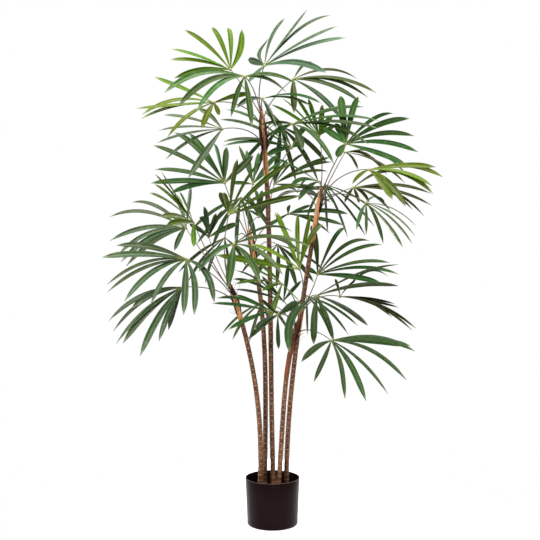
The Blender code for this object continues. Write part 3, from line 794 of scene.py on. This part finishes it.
def addLeaflet(bm, leafLayers, knot, face, sag, width, number, clock, length, corners):
    # a pleated strap along the curve of its solid; false where that solid can't be found
    heading = growHeading(knot, face, sag, clock, length, corners)
    if heading is None:
        return False
    finish = leafFinish
    dice = random.Random(number * frondSizes["frondSeed"] + clock)
    broad = width * dice.uniform(*frondSizes["leafBreadths"])
    twist = math.radians(dice.uniform(-frondSizes["leafTwist"], frondSizes["leafTwist"]))
    roll = math.radians(dice.uniform(-finish["roll"], finish["roll"]))
    bow = dice.uniform(-finish["bow"], finish["bow"])
    bow = bends.get((number, clock), bow) * length
    taper = dice.uniform(*finish["tipTaper"])
    shade, hue = leafColour(number, clock, dice.random())
    shadeLayer, hueLayer = leafLayers
    normal = faceAxes(face)[0]
    flat = Matrix.Rotation(twist, 3, heading) @ normal.cross(heading).normalized()
    share = shownShare(number, clock)
    if share < 1 or (number, clock) in facing:
        flat = edgeOn(heading, normal, min(share, 1.0))
        roll *= finish["turnedRoll"]
    broad *= max(share, 1.0) * min(share / finish["slender"], 1.0)
    root = frondSizes["leafRoot"] / length
    droop = frondSizes["leafDroop"]

    def shape(vert, u, v):
        t = root + (1 - root) * (1 - (1 - v) ** finish["crowding"])
        s = 2 * u - 1
        centre = knot + (heading * t - up * sag * t ** droop) * length
        along = heading - up * (droop * sag * t ** (droop - 1))
        side = (flat - along * (flat.dot(along) / along.length_squared)).normalized()
        above = along.cross(side).normalized()
        if above.dot(normal) < 0:
            above.negate()
        turn = roll * t * t
        across = side * math.cos(turn) + above * math.sin(turn)
        proud = above * math.cos(turn) - side * math.sin(turn)
        half = max(broad * finish["breadth"] * leafWidth(t, taper) / 2, finish["tipWidth"])
        rib = 1 - abs((abs(s) * finish["pleats"]) % 2 - 1)
        rise = (finish["fold"] * (abs(s) - 1) + finish["pleat"] * rib) * half
        vert[shadeLayer] = shade
        vert[hueLayer] = hue
        return centre + across * (half * s + bow * math.sin(math.pi * t)) + proud * rise

    faceUpwards(bm, sheet(bm, finish["across"], finish["along"], shape), normal)
    return True


def faceUpwards(bm, verts, normal):
    # turns a leaflet over if most of its faces look away from where the frond's face looks
    faces = {face for vert in verts for face in vert.link_faces}
    for face in faces:
        face.normal_update()
    if sum(face.normal.dot(normal) * face.calc_area() for face in faces) < 0:
        bmesh.ops.reverse_faces(bm, faces=list(faces))


def caneSurface(cane):
    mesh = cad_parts["cane_" + cane].data
    return BVHTree.FromPolygons([v.co for v in mesh.vertices], [p.vertices for p in mesh.polygons])


def solidCorners(node):
    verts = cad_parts[node].data.vertices
    corners = KDTree(len(verts))
    for i, vert in enumerate(verts):
        corners.insert(vert.co, i)
    corners.balance()
    return corners


def addStalk(bm, points, out):
    thick, taper = leafFinish["stalkTaper"]
    addTube(bm, points, lambda v: leafFinish["stalkThin"] * (thick - taper * v), leafFinish["stalkSides"],
            leafFinish["stalkSteps"], -out)


def addKnot(bm, knot, face):
    normal = faceAxes(face)[0]
    made = bmesh.ops.create_icosphere(bm, subdivisions=leafFinish["knotDetail"], radius=leafFinish["knot"])
    turn = normal.to_track_quat("Z", "Y").to_matrix().to_4x4()
    bmesh.ops.scale(bm, vec=(1, 1, leafFinish["knotFlat"]), verts=made["verts"])
    bmesh.ops.transform(bm, matrix=Matrix.Translation(knot) @ turn, verts=made["verts"])


def makeFronds():
    toneMeshes = {}
    toneNodes = {}
    stalks = bmesh.new()
    layers(stalks)
    knots = bmesh.new()
    bases = bmesh.new()
    redLayer, = layers(bases, "red")
    barks = {cane: caneSurface(cane) for cane in canes}
    grown = 0
    missed = 0
    for number, (cane, height, knot, face, sag, width, tone, leaves) in enumerate(fronds, 1):
        node = f"frond_{number:02d}"
        corners = solidCorners(node)
        knot = Vector(knot)
        points, out = growStalk(cane, barks[cane], height, knot, corners)
        addStalk(stalks, points, out)
        addKnot(knots, knot, face)
        addBase(bases, redLayer, cane, height, out, number)
        if tone not in toneMeshes:
            toneMeshes[tone] = bmesh.new()
        bm = toneMeshes[tone]
        leafLayers = layers(bm, "shade", "hue")
        for clock, leaf in leaves.items():
            reach, ownSag = leaf if isinstance(leaf, tuple) else (leaf, sag)
            made = addLeaflet(bm, leafLayers, knot, face, ownSag, width / 1000, number, clock, reach / 1000,
                              corners)
            grown += made
            missed += not made
        toneNodes.setdefault(tone, []).append(node)
    for tone, bm in toneMeshes.items():
        finishLeaflets(tone, bm, toneNodes[tone])
    finishPiece("stalks", stalks, stalkMaterial())
    finishPiece("knots", knots, knotMaterial())
    finishPiece("leaf_bases", bases, baseMaterial())
    print("leaflets grown:", grown, "left out:", missed)


def finishLeaflets(tone, bm, nodes):
    for edge in bm.edges:
        if edge.is_boundary:
            edge.smooth = False
    for face in bm.faces:
        face.smooth = True
    thing = finished("leaflets_" + tone, bm)
    thing.data.materials.append(leafMaterial(tone, False))
    # the back shell takes the underside material, darker as painted shade
    thing.data.materials.append(leafMaterial(tone, True))
    shell = thing.modifiers.new("thickness", "SOLIDIFY")
    shell.thickness = leafFinish["thickness"]
    shell.offset = -1
    shell.material_offset = 1
    shell.material_offset_rim = 0
    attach(thing, "root")
    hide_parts(*nodes)


baseSizes = {
    "length": 0.085,
    "lengths": (0.8, 1.2),   # the least and most of it that one leaf's base has
    "overlap": 0.002,        # how far up past its stalk a base reaches, as a share of the cane
    "topSpread": 16.0,       # degrees to each side of the stalk
    "footSpread": 70.0,
    "widening": 0.7,
    "lift": 0.0016,
    "footLift": 0.0007,
    "gap": 0.0002,
    "across": 8,
    "along": 14,
}


def addBase(bm, redLayer, cane, height, out, number):
    # a leaf's clasping base, from under its stalk down round the cane
    sizes = baseSizes
    dice = random.Random(number)
    t = caneAt(cane, height)
    drop = sizes["length"] * dice.uniform(*sizes["lengths"]) / caneLength(cane)
    out = out.normalized()
    narrower = (caneRadius(t) - caneSizes["tip"]) * tipShare(cane, t)

    def shape(vert, u, v):
        place, along = cubic(canes[cane][:4], min(1.0, t + sizes["overlap"] - drop * v))
        spread = sizes["topSpread"] + (sizes["footSpread"] - sizes["topSpread"]) * v ** sizes["widening"]
        turn = math.radians(spread * (2 * u - 1))
        edge = 1 - abs(2 * u - 1) ** 3
        lift = sizes["lift"] * (1 - v) + sizes["footLift"] * v
        radius = caneRadius(t) + lift * edge + sizes["gap"] + caneSizes["sheathLift"] - narrower * (1 - v)
        vert[redLayer] = canes[cane][5]
        return place + spoke(crossAxes(along, out), turn) * radius

    sheet(bm, sizes["across"], sizes["along"], shape)


# Fibres: the dark torn remains of old leaf bases beside the canes, and their loose hairs

fibreSizes = {
    "across": 8,
    "along": 30,
    "thickness": 0.0006,
    "gap": 0.0003,
    "toothPace": (9, 4),     # across a patch and along it
    "toothSeed": 5.3,
    "toothEnds": 0.10,       # how much its teeth move a patch's ends
    "toothSwell": 0.35,      # and how much they change its swell
    "ragged": 0.35,
    "tearPace": 14,
    "tearSeed": 3.7,
    "tearSides": (8, 2),     # what makes the tears differ at the left and right
    "narrowing": 0.55,
    "swellShape": (1.15, 0.8, 1.1),    # how early a patch is thickest, how blunt it is, how narrow
    "hairSeed": 31,
    "hairs": 6,
    "hairSides": 4,
    "hairSteps": 10,
    "hairRadius": 0.0006,
    "hairTaper": 0.6,
    "hairRoot": 0.9,         # how deep in the cane a hair starts, as a share of its radius
    "hairLength": (0.018, 0.045),
    "hairLift": (0.3, 1.1),
    "hairReach": (0.4, 0.6),
    "hairRise": (0.2, 0.6),
    "hairEnd": (0.5, 0.9),
}

# each patch: cane, its lowest and highest place, the side it is on in degrees from the right,
# degrees that it spreads to each side, how far it stands off
fibres = (
    ("tall", 1.325, 1.478, 188, 62, 0.0058),
    ("tall", 1.340, 1.452, -8, 58, 0.0050),
    ("tall", 1.300, 1.430, 80, 50, 0.0030),
    ("right", 1.120, 1.196, -15, 60, 0.0055),
    ("right", 1.105, 1.200, 100, 55, 0.0030),
    ("midright", 0.655, 0.752, 5, 60, 0.0042),
    ("midright", 0.640, 0.730, 170, 50, 0.0026),
    ("left", 0.770, 0.862, 20, 60, 0.0042),
    ("left", 0.760, 0.850, 175, 55, 0.0030),
    ("left", 0.828, 0.874, 275, 85, 0.0012),
    ("midleft", 0.955, 1.048, 15, 60, 0.0044),
    ("midleft", 0.940, 1.035, 170, 55, 0.0036),
)


def addFibre(bm, patch, seed):
    cane, low, high, side, spread, stand = patch
    sizes = fibreSizes
    start, end = caneAt(cane, low), caneAt(cane, high)
    quick, blunt, narrow = sizes["swellShape"]

    def shape(vert, u, v):
        tooth = waver(u * sizes["toothPace"][0], v * sizes["toothPace"][1], seed * sizes["toothSeed"])
        ragged = v + sizes["toothEnds"] * tooth * (1 if v > 0.5 else -1)
        t = start + (end - start) * min(1.0, max(0.0, ragged))
        place, along = cubic(canes[cane][:4], t)
        half = sizes["tearSides"][u > 0.5]
        tear = 1 + sizes["ragged"] * waver(v * sizes["tearPace"], seed * sizes["tearSeed"], half)
        turn = math.radians(side + spread * (2 * u - 1) * tear * (1 - sizes["narrowing"] * v * v))
        swell = math.sin(math.pi * min(1.0, v * quick)) ** blunt * math.cos((2 * u - 1) * narrow)
        radius = taperedRadius(cane, t) + caneSizes["sheathLift"] + sizes["gap"]
        radius += stand * max(0.0, swell) * (1 + sizes["toothSwell"] * tooth)
        return place + spoke(crossAxes(along, sideways), turn) * radius

    sheet(bm, sizes["across"], sizes["along"], shape)


def addHairs(bm, patch, seed):
    cane, low, high, side, spread = patch[:5]
    sizes = fibreSizes
    dice = random.Random(seed * sizes["hairSeed"])
    for _ in range(sizes["hairs"]):
        t = caneAt(cane, dice.uniform(low, high))
        place, along = cubic(canes[cane][:4], t)
        out = spoke(crossAxes(along, sideways), math.radians(side + dice.uniform(-spread, spread)))
        reach = dice.uniform(*sizes["hairLength"])
        foot = place + out * (caneRadius(t) * sizes["hairRoot"])
        lift = dice.uniform(*sizes["hairLift"])
        points = [foot]
        for outward, upward in zip(sizes["hairReach"], sizes["hairRise"]):
            points.append(foot + out * reach * outward + along * reach * upward * lift)
        points.append(foot + out * reach * dice.uniform(*sizes["hairEnd"]) + along * reach * lift)
        addTube(bm, points, lambda v: sizes["hairRadius"] * (1 - sizes["hairTaper"] * v), sizes["hairSides"],
                sizes["hairSteps"], up.cross(out))


def makeFibres():
    patches = bmesh.new()
    hairs = bmesh.new()
    for seed, patch in enumerate(fibres, 1):
        addFibre(patches, patch, seed)
        addHairs(hairs, patch, seed)
    thing = finishPiece("fibres", patches, fibreMaterial())
    shell = thing.modifiers.new("thickness", "SOLIDIFY")
    shell.thickness = fibreSizes["thickness"]
    shell.offset = 0
    finishPiece("hairs", hairs, fibreMaterial())


fibreLook = {
    "dark": (0.020, 0.008, 0.006),
    "light": (0.120, 0.052, 0.024),
    "streaks": ((260, 260, 16), 4.0, 0.65),
    "streakMix": (0.48, 0.74),
    "roughness": 0.8,
    "shine": 0.2,
    "relief": (0.8, 0.001),
}


def fibreMaterial():
    if "fibre" in bpy.data.materials:
        return bpy.data.materials["fibre"]
    look = fibreLook
    mat, tree, shader = newMaterial("fibre")
    streaks = cloud(tree, objectPlace(tree), *look["streaks"])
    colour = blend(tree, ranged(tree, streaks, *look["streakMix"]), look["dark"], look["light"])
    feed(tree, shader.inputs["Base Color"], colour)
    feed(tree, shader.inputs["Roughness"], look["roughness"])
    feed(tree, shader.inputs["Specular IOR Level"], look["shine"])
    relief(tree, shader, streaks, *look["relief"])
    return mat


# Leaflet finishes

tones = {
    # top colour, light colour, underside; the underside is darker than the top as painted shade
    "lime": ((0.042, 0.094, 0.002), (0.155, 0.235, 0.026), (0.033, 0.060, 0.003)),
    "blue": ((0.034, 0.064, 0.028), (0.170, 0.220, 0.135), (0.022, 0.044, 0.015)),
    "mid": ((0.015, 0.056, 0.006), (0.135, 0.208, 0.086), (0.018, 0.042, 0.006)),
    "olive": ((0.012, 0.022, 0.0006), (0.056, 0.082, 0.007), (0.012, 0.017, 0.0006)),
    "grey": ((0.024, 0.054, 0.012), (0.185, 0.238, 0.145), (0.024, 0.044, 0.010)),
    "vivid": ((0.026, 0.086, 0.010), (0.150, 0.222, 0.092), (0.026, 0.062, 0.009)),
    "dark": ((0.007, 0.032, 0.003), (0.062, 0.120, 0.036), (0.009, 0.025, 0.003)),
    # brown: the dark brown-olive of leaflets seen from below in shade, as painted shade
    "brown": ((0.014, 0.017, 0.0015), (0.056, 0.070, 0.014), (0.011, 0.009, 0.0015)),
}

leafLook = {
    "paintedRibLights": 2.0,             # light stripes across a leaflet, darker between them: painted light and shade of its pleats
    "rootColour": (0.20, 0.24, 0.07),
    # the pale tip colour is partly the leaflet's own and partly a painted sheen
    "tipColour": (0.36, 0.42, 0.28),
    "shine": 0.14,
    "shineTint": (1.0, 0.98, 0.62),
    "whiteShine": ("grey", "blue"),    # tones whose shine isn't tinted
    "underRoughness": 0.62,
    # patterns: pace across and along a leaflet, or along x, y and z, then detail and roughness
    "streaks": ((9, 0.9, 1), 3.0, 0.6),
    "spots": ((38, 38, 38), 3.0, 0.6),
    # mixes: the pattern's values where one starts and ends, and its share at each
    # the light streaks are partly the leaflet's own streaks and partly a painted sheen
    "streakMix": (0.46, 0.68, 0.0, 0.60),
    # the light spots in this mix are a painted sheen, in patches
    "sheenSpotMix": (0.50, 0.72, 0.0, 0.30),
    # the rib stripes are painted light on the pleats' ribs and painted shade in their grooves
    "paintedRibLightMix": (-0.9, 0.9, 0.0, 0.24),
    "midribMix": (0.008, 0.045, 0.45, 0.0),
    "rootMix": (0.0, 0.13, 0.70, 0.0),
    "tipMix": (0.84, 1.0, 0.0, 0.45),
    "roughness": (0.3, 0.7, 0.34, 0.50),
    # a leaflet's shade makes it lighter, and turns its hue
    "shadeLight": (0.60, 0.74),
    "shadeHue": (0.0, 1.0, 0.478, 0.522),
}


def leafMaterial(tone, under):
    look = leafLook
    top, light, below = tones[tone]
    mat, tree, shader = newMaterial("leaf_" + tone + ("_under" if under else ""))
    uv, across, along = sheetPlace(tree)
    streaks = cloud(tree, uv, *look["streaks"])
    spots = cloud(tree, objectPlace(tree), *look["spots"])
    # painted light and shade of the pleats: light stripes with darker grooves between
    wave = sums(tree, "COSINE", sums(tree, "MULTIPLY", across, look["paintedRibLights"] * math.tau))
    middle = sums(tree, "ABSOLUTE", sums(tree, "SUBTRACT", across, 0.5))
    # the underside's darker colour is painted shade
    colour = below if under else top
    patterns = (streaks, "streakMix"), (spots, "sheenSpotMix"), (wave, "paintedRibLightMix"), (middle, "midribMix")
    for pattern, mix in patterns:
        colour = blend(tree, ranged(tree, pattern, *look[mix]), colour, light)
    colour = blend(tree, ranged(tree, along, *look["rootMix"]), colour, look["rootColour"])
    # pale tips: partly the leaflet's own colour, partly a painted sheen
    colour = blend(tree, ranged(tree, along, *look["tipMix"]), colour, look["tipColour"])
    feed(tree, shader.inputs["Base Color"], shaded(tree, colour))
    rough = look["underRoughness"] if under else ranged(tree, spots, *look["roughness"])
    feed(tree, shader.inputs["Roughness"], rough)
    feed(tree, shader.inputs["Specular IOR Level"], look["shine"])
    if tone not in look["whiteShine"]:
        feed(tree, shader.inputs["Specular Tint"], look["shineTint"])
    return mat


def shaded(tree, colour):
    # the colour in the leaflet's own shade and hue
    shade = attribute(tree, "shade")
    gain, least = leafLook["shadeLight"]
    tint = tree.nodes.new("ShaderNodeHueSaturation")
    hue = sums(tree, "ADD", ranged(tree, shade, *leafLook["shadeHue"]), attribute(tree, "hue"))
    feed(tree, tint.inputs["Hue"], hue)
    feed(tree, tint.inputs["Value"], sums(tree, "MULTIPLY_ADD", shade, gain, least))
    feed(tree, tint.inputs["Color"], colour)
    return tint.outputs[0]


stalkLook = {
    "foot": ((0.070, 0.050, 0.032), (0.17, 0.12, 0.080)),      # dark and light
    "head": ((0.080, 0.095, 0.036), (0.19, 0.20, 0.095)),
    "streaks": ((300, 300, 60), 3.0),
    "headMix": (0.25, 0.95),
    "roughness": 0.5,
    "relief": (0.4, 0.0004),
}


def stalkMaterial():
    look = stalkLook
    mat, tree, shader = newMaterial("stalk")
    along = sheetPlace(tree)[2]
    streaks = cloud(tree, objectPlace(tree), *look["streaks"])
    foot = blend(tree, streaks, *look["foot"])
    head = blend(tree, streaks, *look["head"])
    feed(tree, shader.inputs["Base Color"], blend(tree, ranged(tree, along, *look["headMix"]), foot, head))
    feed(tree, shader.inputs["Roughness"], look["roughness"])
    relief(tree, shader, streaks, *look["relief"])
    return mat


knotLook = {
    "colours": ((0.16, 0.15, 0.050), (0.42, 0.37, 0.18)),
    "spots": ((260, 260, 260), 3.0),
    "roughness": 0.6,
    "relief": (0.5, 0.0006),
}


def knotMaterial():
    look = knotLook
    mat, tree, shader = newMaterial("knot")
    spots = cloud(tree, objectPlace(tree), *look["spots"])
    feed(tree, shader.inputs["Base Color"], blend(tree, spots, *look["colours"]))
    feed(tree, shader.inputs["Roughness"], look["roughness"])
    relief(tree, shader, spots, *look["relief"])
    return mat


baseLook = {
    "streaks": ((190, 190, 10), 4.0, 0.6),
    "streakMix": (0.42, 0.66),
    "roughness": 0.5,
    "relief": (0.6, 0.0007),
}


def baseMaterial():
    # the bark's own sheath colours, in finer streaks
    look = baseLook
    mat, tree, shader = newMaterial("leafBase")
    streaks = cloud(tree, objectPlace(tree), *look["streaks"])
    streak = ranged(tree, streaks, *look["streakMix"])
    plain = blend(tree, streak, barkLook["sheathDark"], barkLook["sheath"])
    red = blend(tree, streak, barkLook["redDark"], barkLook["red"])
    feed(tree, shader.inputs["Base Color"], blend(tree, attribute(tree, "red"), plain, red))
    feed(tree, shader.inputs["Roughness"], look["roughness"])
    relief(tree, shader, streaks, *look["relief"])
    return mat


# Pot and fill

potSizes = {
    "height": 0.171,
    "rim": 0.0975,
    "base": 0.0905,
    "wall": 0.003,
    "floor": 0.004,
    "corner": 0.007,
    "cornerSteps": 8,
    "rimRound": 0.0012,
    "rimSteps": 4,
    "sides": 96,
    "sharpAngle": 40,
}

potLook = {
    "dark": (0.0045, 0.0015, 0.0017),
    "light": (0.0072, 0.0026, 0.0028),
    # rim: the pale colour of the painted highlight along the rim's top edge
    "rim": (0.110, 0.090, 0.088),
    "rimHighlight": (0.1698, 0.1708),    # heights between which the rim is painted pale, as a painted highlight along its edge
    "spots": ((14, 14, 9), 4.0),
    "grain": ((1400, 1400, 1400), 2.0),
    "roughness": (0.3, 0.7, 0.28, 0.36),
    "relief": (0.12, 0.0002),
    "shine": 0.07,
    "shineTint": (1.0, 0.72, 0.68),
}


def turned(bm, profile, steps):
    verts = [bm.verts.new((radius, 0, height)) for radius, height in profile]
    edges = [bm.edges.new(pair) for pair in zip(verts, verts[1:])]
    bmesh.ops.spin(bm, geom=verts + edges, cent=(0, 0, 0), axis=(0, 0, 1), angle=math.tau, steps=steps,
                   use_merge=True)
    bmesh.ops.remove_doubles(bm, verts=bm.verts, dist=mergeGap)
    bmesh.ops.recalc_face_normals(bm, faces=bm.faces)


def arc(centre, radius, start, end, steps):
    turns = (math.radians(start + (end - start) * i / steps) for i in range(steps + 1))
    return [(centre[0] + radius * math.cos(turn), centre[1] + radius * math.sin(turn)) for turn in turns]


def potRadius(height):
    return potSizes["base"] + (potSizes["rim"] - potSizes["base"]) / potSizes["height"] * height


def makePot():
    sizes = potSizes
    bend = sizes["corner"]
    lip = sizes["rimRound"]
    corner = arc((sizes["base"] - bend, bend), bend, -90, 0, sizes["cornerSteps"])
    rim = arc((sizes["rim"] - lip, sizes["height"] - lip), lip, 0, 90, sizes["rimSteps"])
    rim += arc((sizes["rim"] - sizes["wall"] + lip, sizes["height"] - lip), lip, 90, 180, sizes["rimSteps"])
    inside = potRadius(sizes["floor"]) - sizes["wall"]
    bm = bmesh.new()
    turned(bm, [(0, 0)] + corner + rim + [(inside, sizes["floor"]), (0, sizes["floor"])], sizes["sides"])
    pot = finishPiece("pot_shell", bm, potMaterial(), sizes["sharpAngle"])
    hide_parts("pot")


def potMaterial():
    look = potLook
    mat, tree, shader = newMaterial("potPlastic")
    place = objectPlace(tree)
    spots = cloud(tree, place, *look["spots"])
    grain = cloud(tree, place, *look["grain"])
    split = tree.nodes.new("ShaderNodeSeparateXYZ")
    tree.links.new(place, split.inputs[0])
    # the top of the rim is painted pale: a painted highlight along its edge
    rimHighlight = ranged(tree, split.outputs["Z"], *look["rimHighlight"])
    plain = blend(tree, spots, look["dark"], look["light"])
    feed(tree, shader.inputs["Base Color"], blend(tree, rimHighlight, plain, look["rim"]))
    feed(tree, shader.inputs["Roughness"], ranged(tree, spots, *look["roughness"]))
    relief(tree, shader, grain, *look["relief"])
    feed(tree, shader.inputs["Specular IOR Level"], look["shine"])
    feed(tree, shader.inputs["Specular Tint"], look["shineTint"])
    return mat


fillSizes = {
    "top": 0.118,
    "gap": 0.0003,           # between the fill and the pot
    "rings": 14,
    "lump": 0.0016,
    "sink": 0.0012,
    "lumpPaces": (90, 210),    # of the coarse and the fine lumps
    "fineShare": 0.5,
    "evenEdge": 0.9,         # lumps fade out from here to the wall
    "levelWithin": 1e-5,
    "sharpAngle": 50,
}

fillLook = {
    "colours": ((0.012, 0.008, 0.006), (0.060, 0.042, 0.030)),
    "spots": ((160, 160, 160), 5.0, 0.7),
    "roughness": 0.95,
    "relief": (0.9, 0.002),
}


def makeFill():
    sizes = fillSizes
    foot = potSizes["floor"] + sizes["gap"]
    inset = potSizes["wall"] + sizes["gap"]
    radius = potRadius(sizes["top"]) - inset
    rings = [(radius * (1 - i / sizes["rings"]), sizes["top"]) for i in range(sizes["rings"])]
    bm = bmesh.new()
    turned(bm, [(0, foot), (potRadius(foot) - inset, foot)] + rings + [(0, sizes["top"])], potSizes["sides"])
    coarse, fine = sizes["lumpPaces"]
    for vert in bm.verts:
        if vert.co.z > sizes["top"] - sizes["levelWithin"]:
            fade = smooth(radius, radius * sizes["evenEdge"], math.hypot(vert.co.x, vert.co.y))
            lump = noise.noise(vert.co * coarse) + sizes["fineShare"] * noise.noise(vert.co * fine)
            vert.co.z += sizes["lump"] * lump * fade - sizes["sink"]
    fill = finishPiece("pot_fill", bm, fillMaterial(), sizes["sharpAngle"])
    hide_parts("ballast")


def fillMaterial():
    look = fillLook
    mat, tree, shader = newMaterial("fill")
    spots = cloud(tree, objectPlace(tree), *look["spots"])
    feed(tree, shader.inputs["Base Color"], blend(tree, spots, *look["colours"]))
    feed(tree, shader.inputs["Roughness"], look["roughness"])
    relief(tree, shader, spots, *look["relief"])
    return mat


makeCamera()
makeLamps()
makeWorld()
makeFloor()
print("studio ready")
for seed, cane in enumerate(canes, 1):
    makeCane(cane, seed)
print("canes ready")
makeFronds()
makeFibres()
makePot()
makeFill()
print("pot ready")
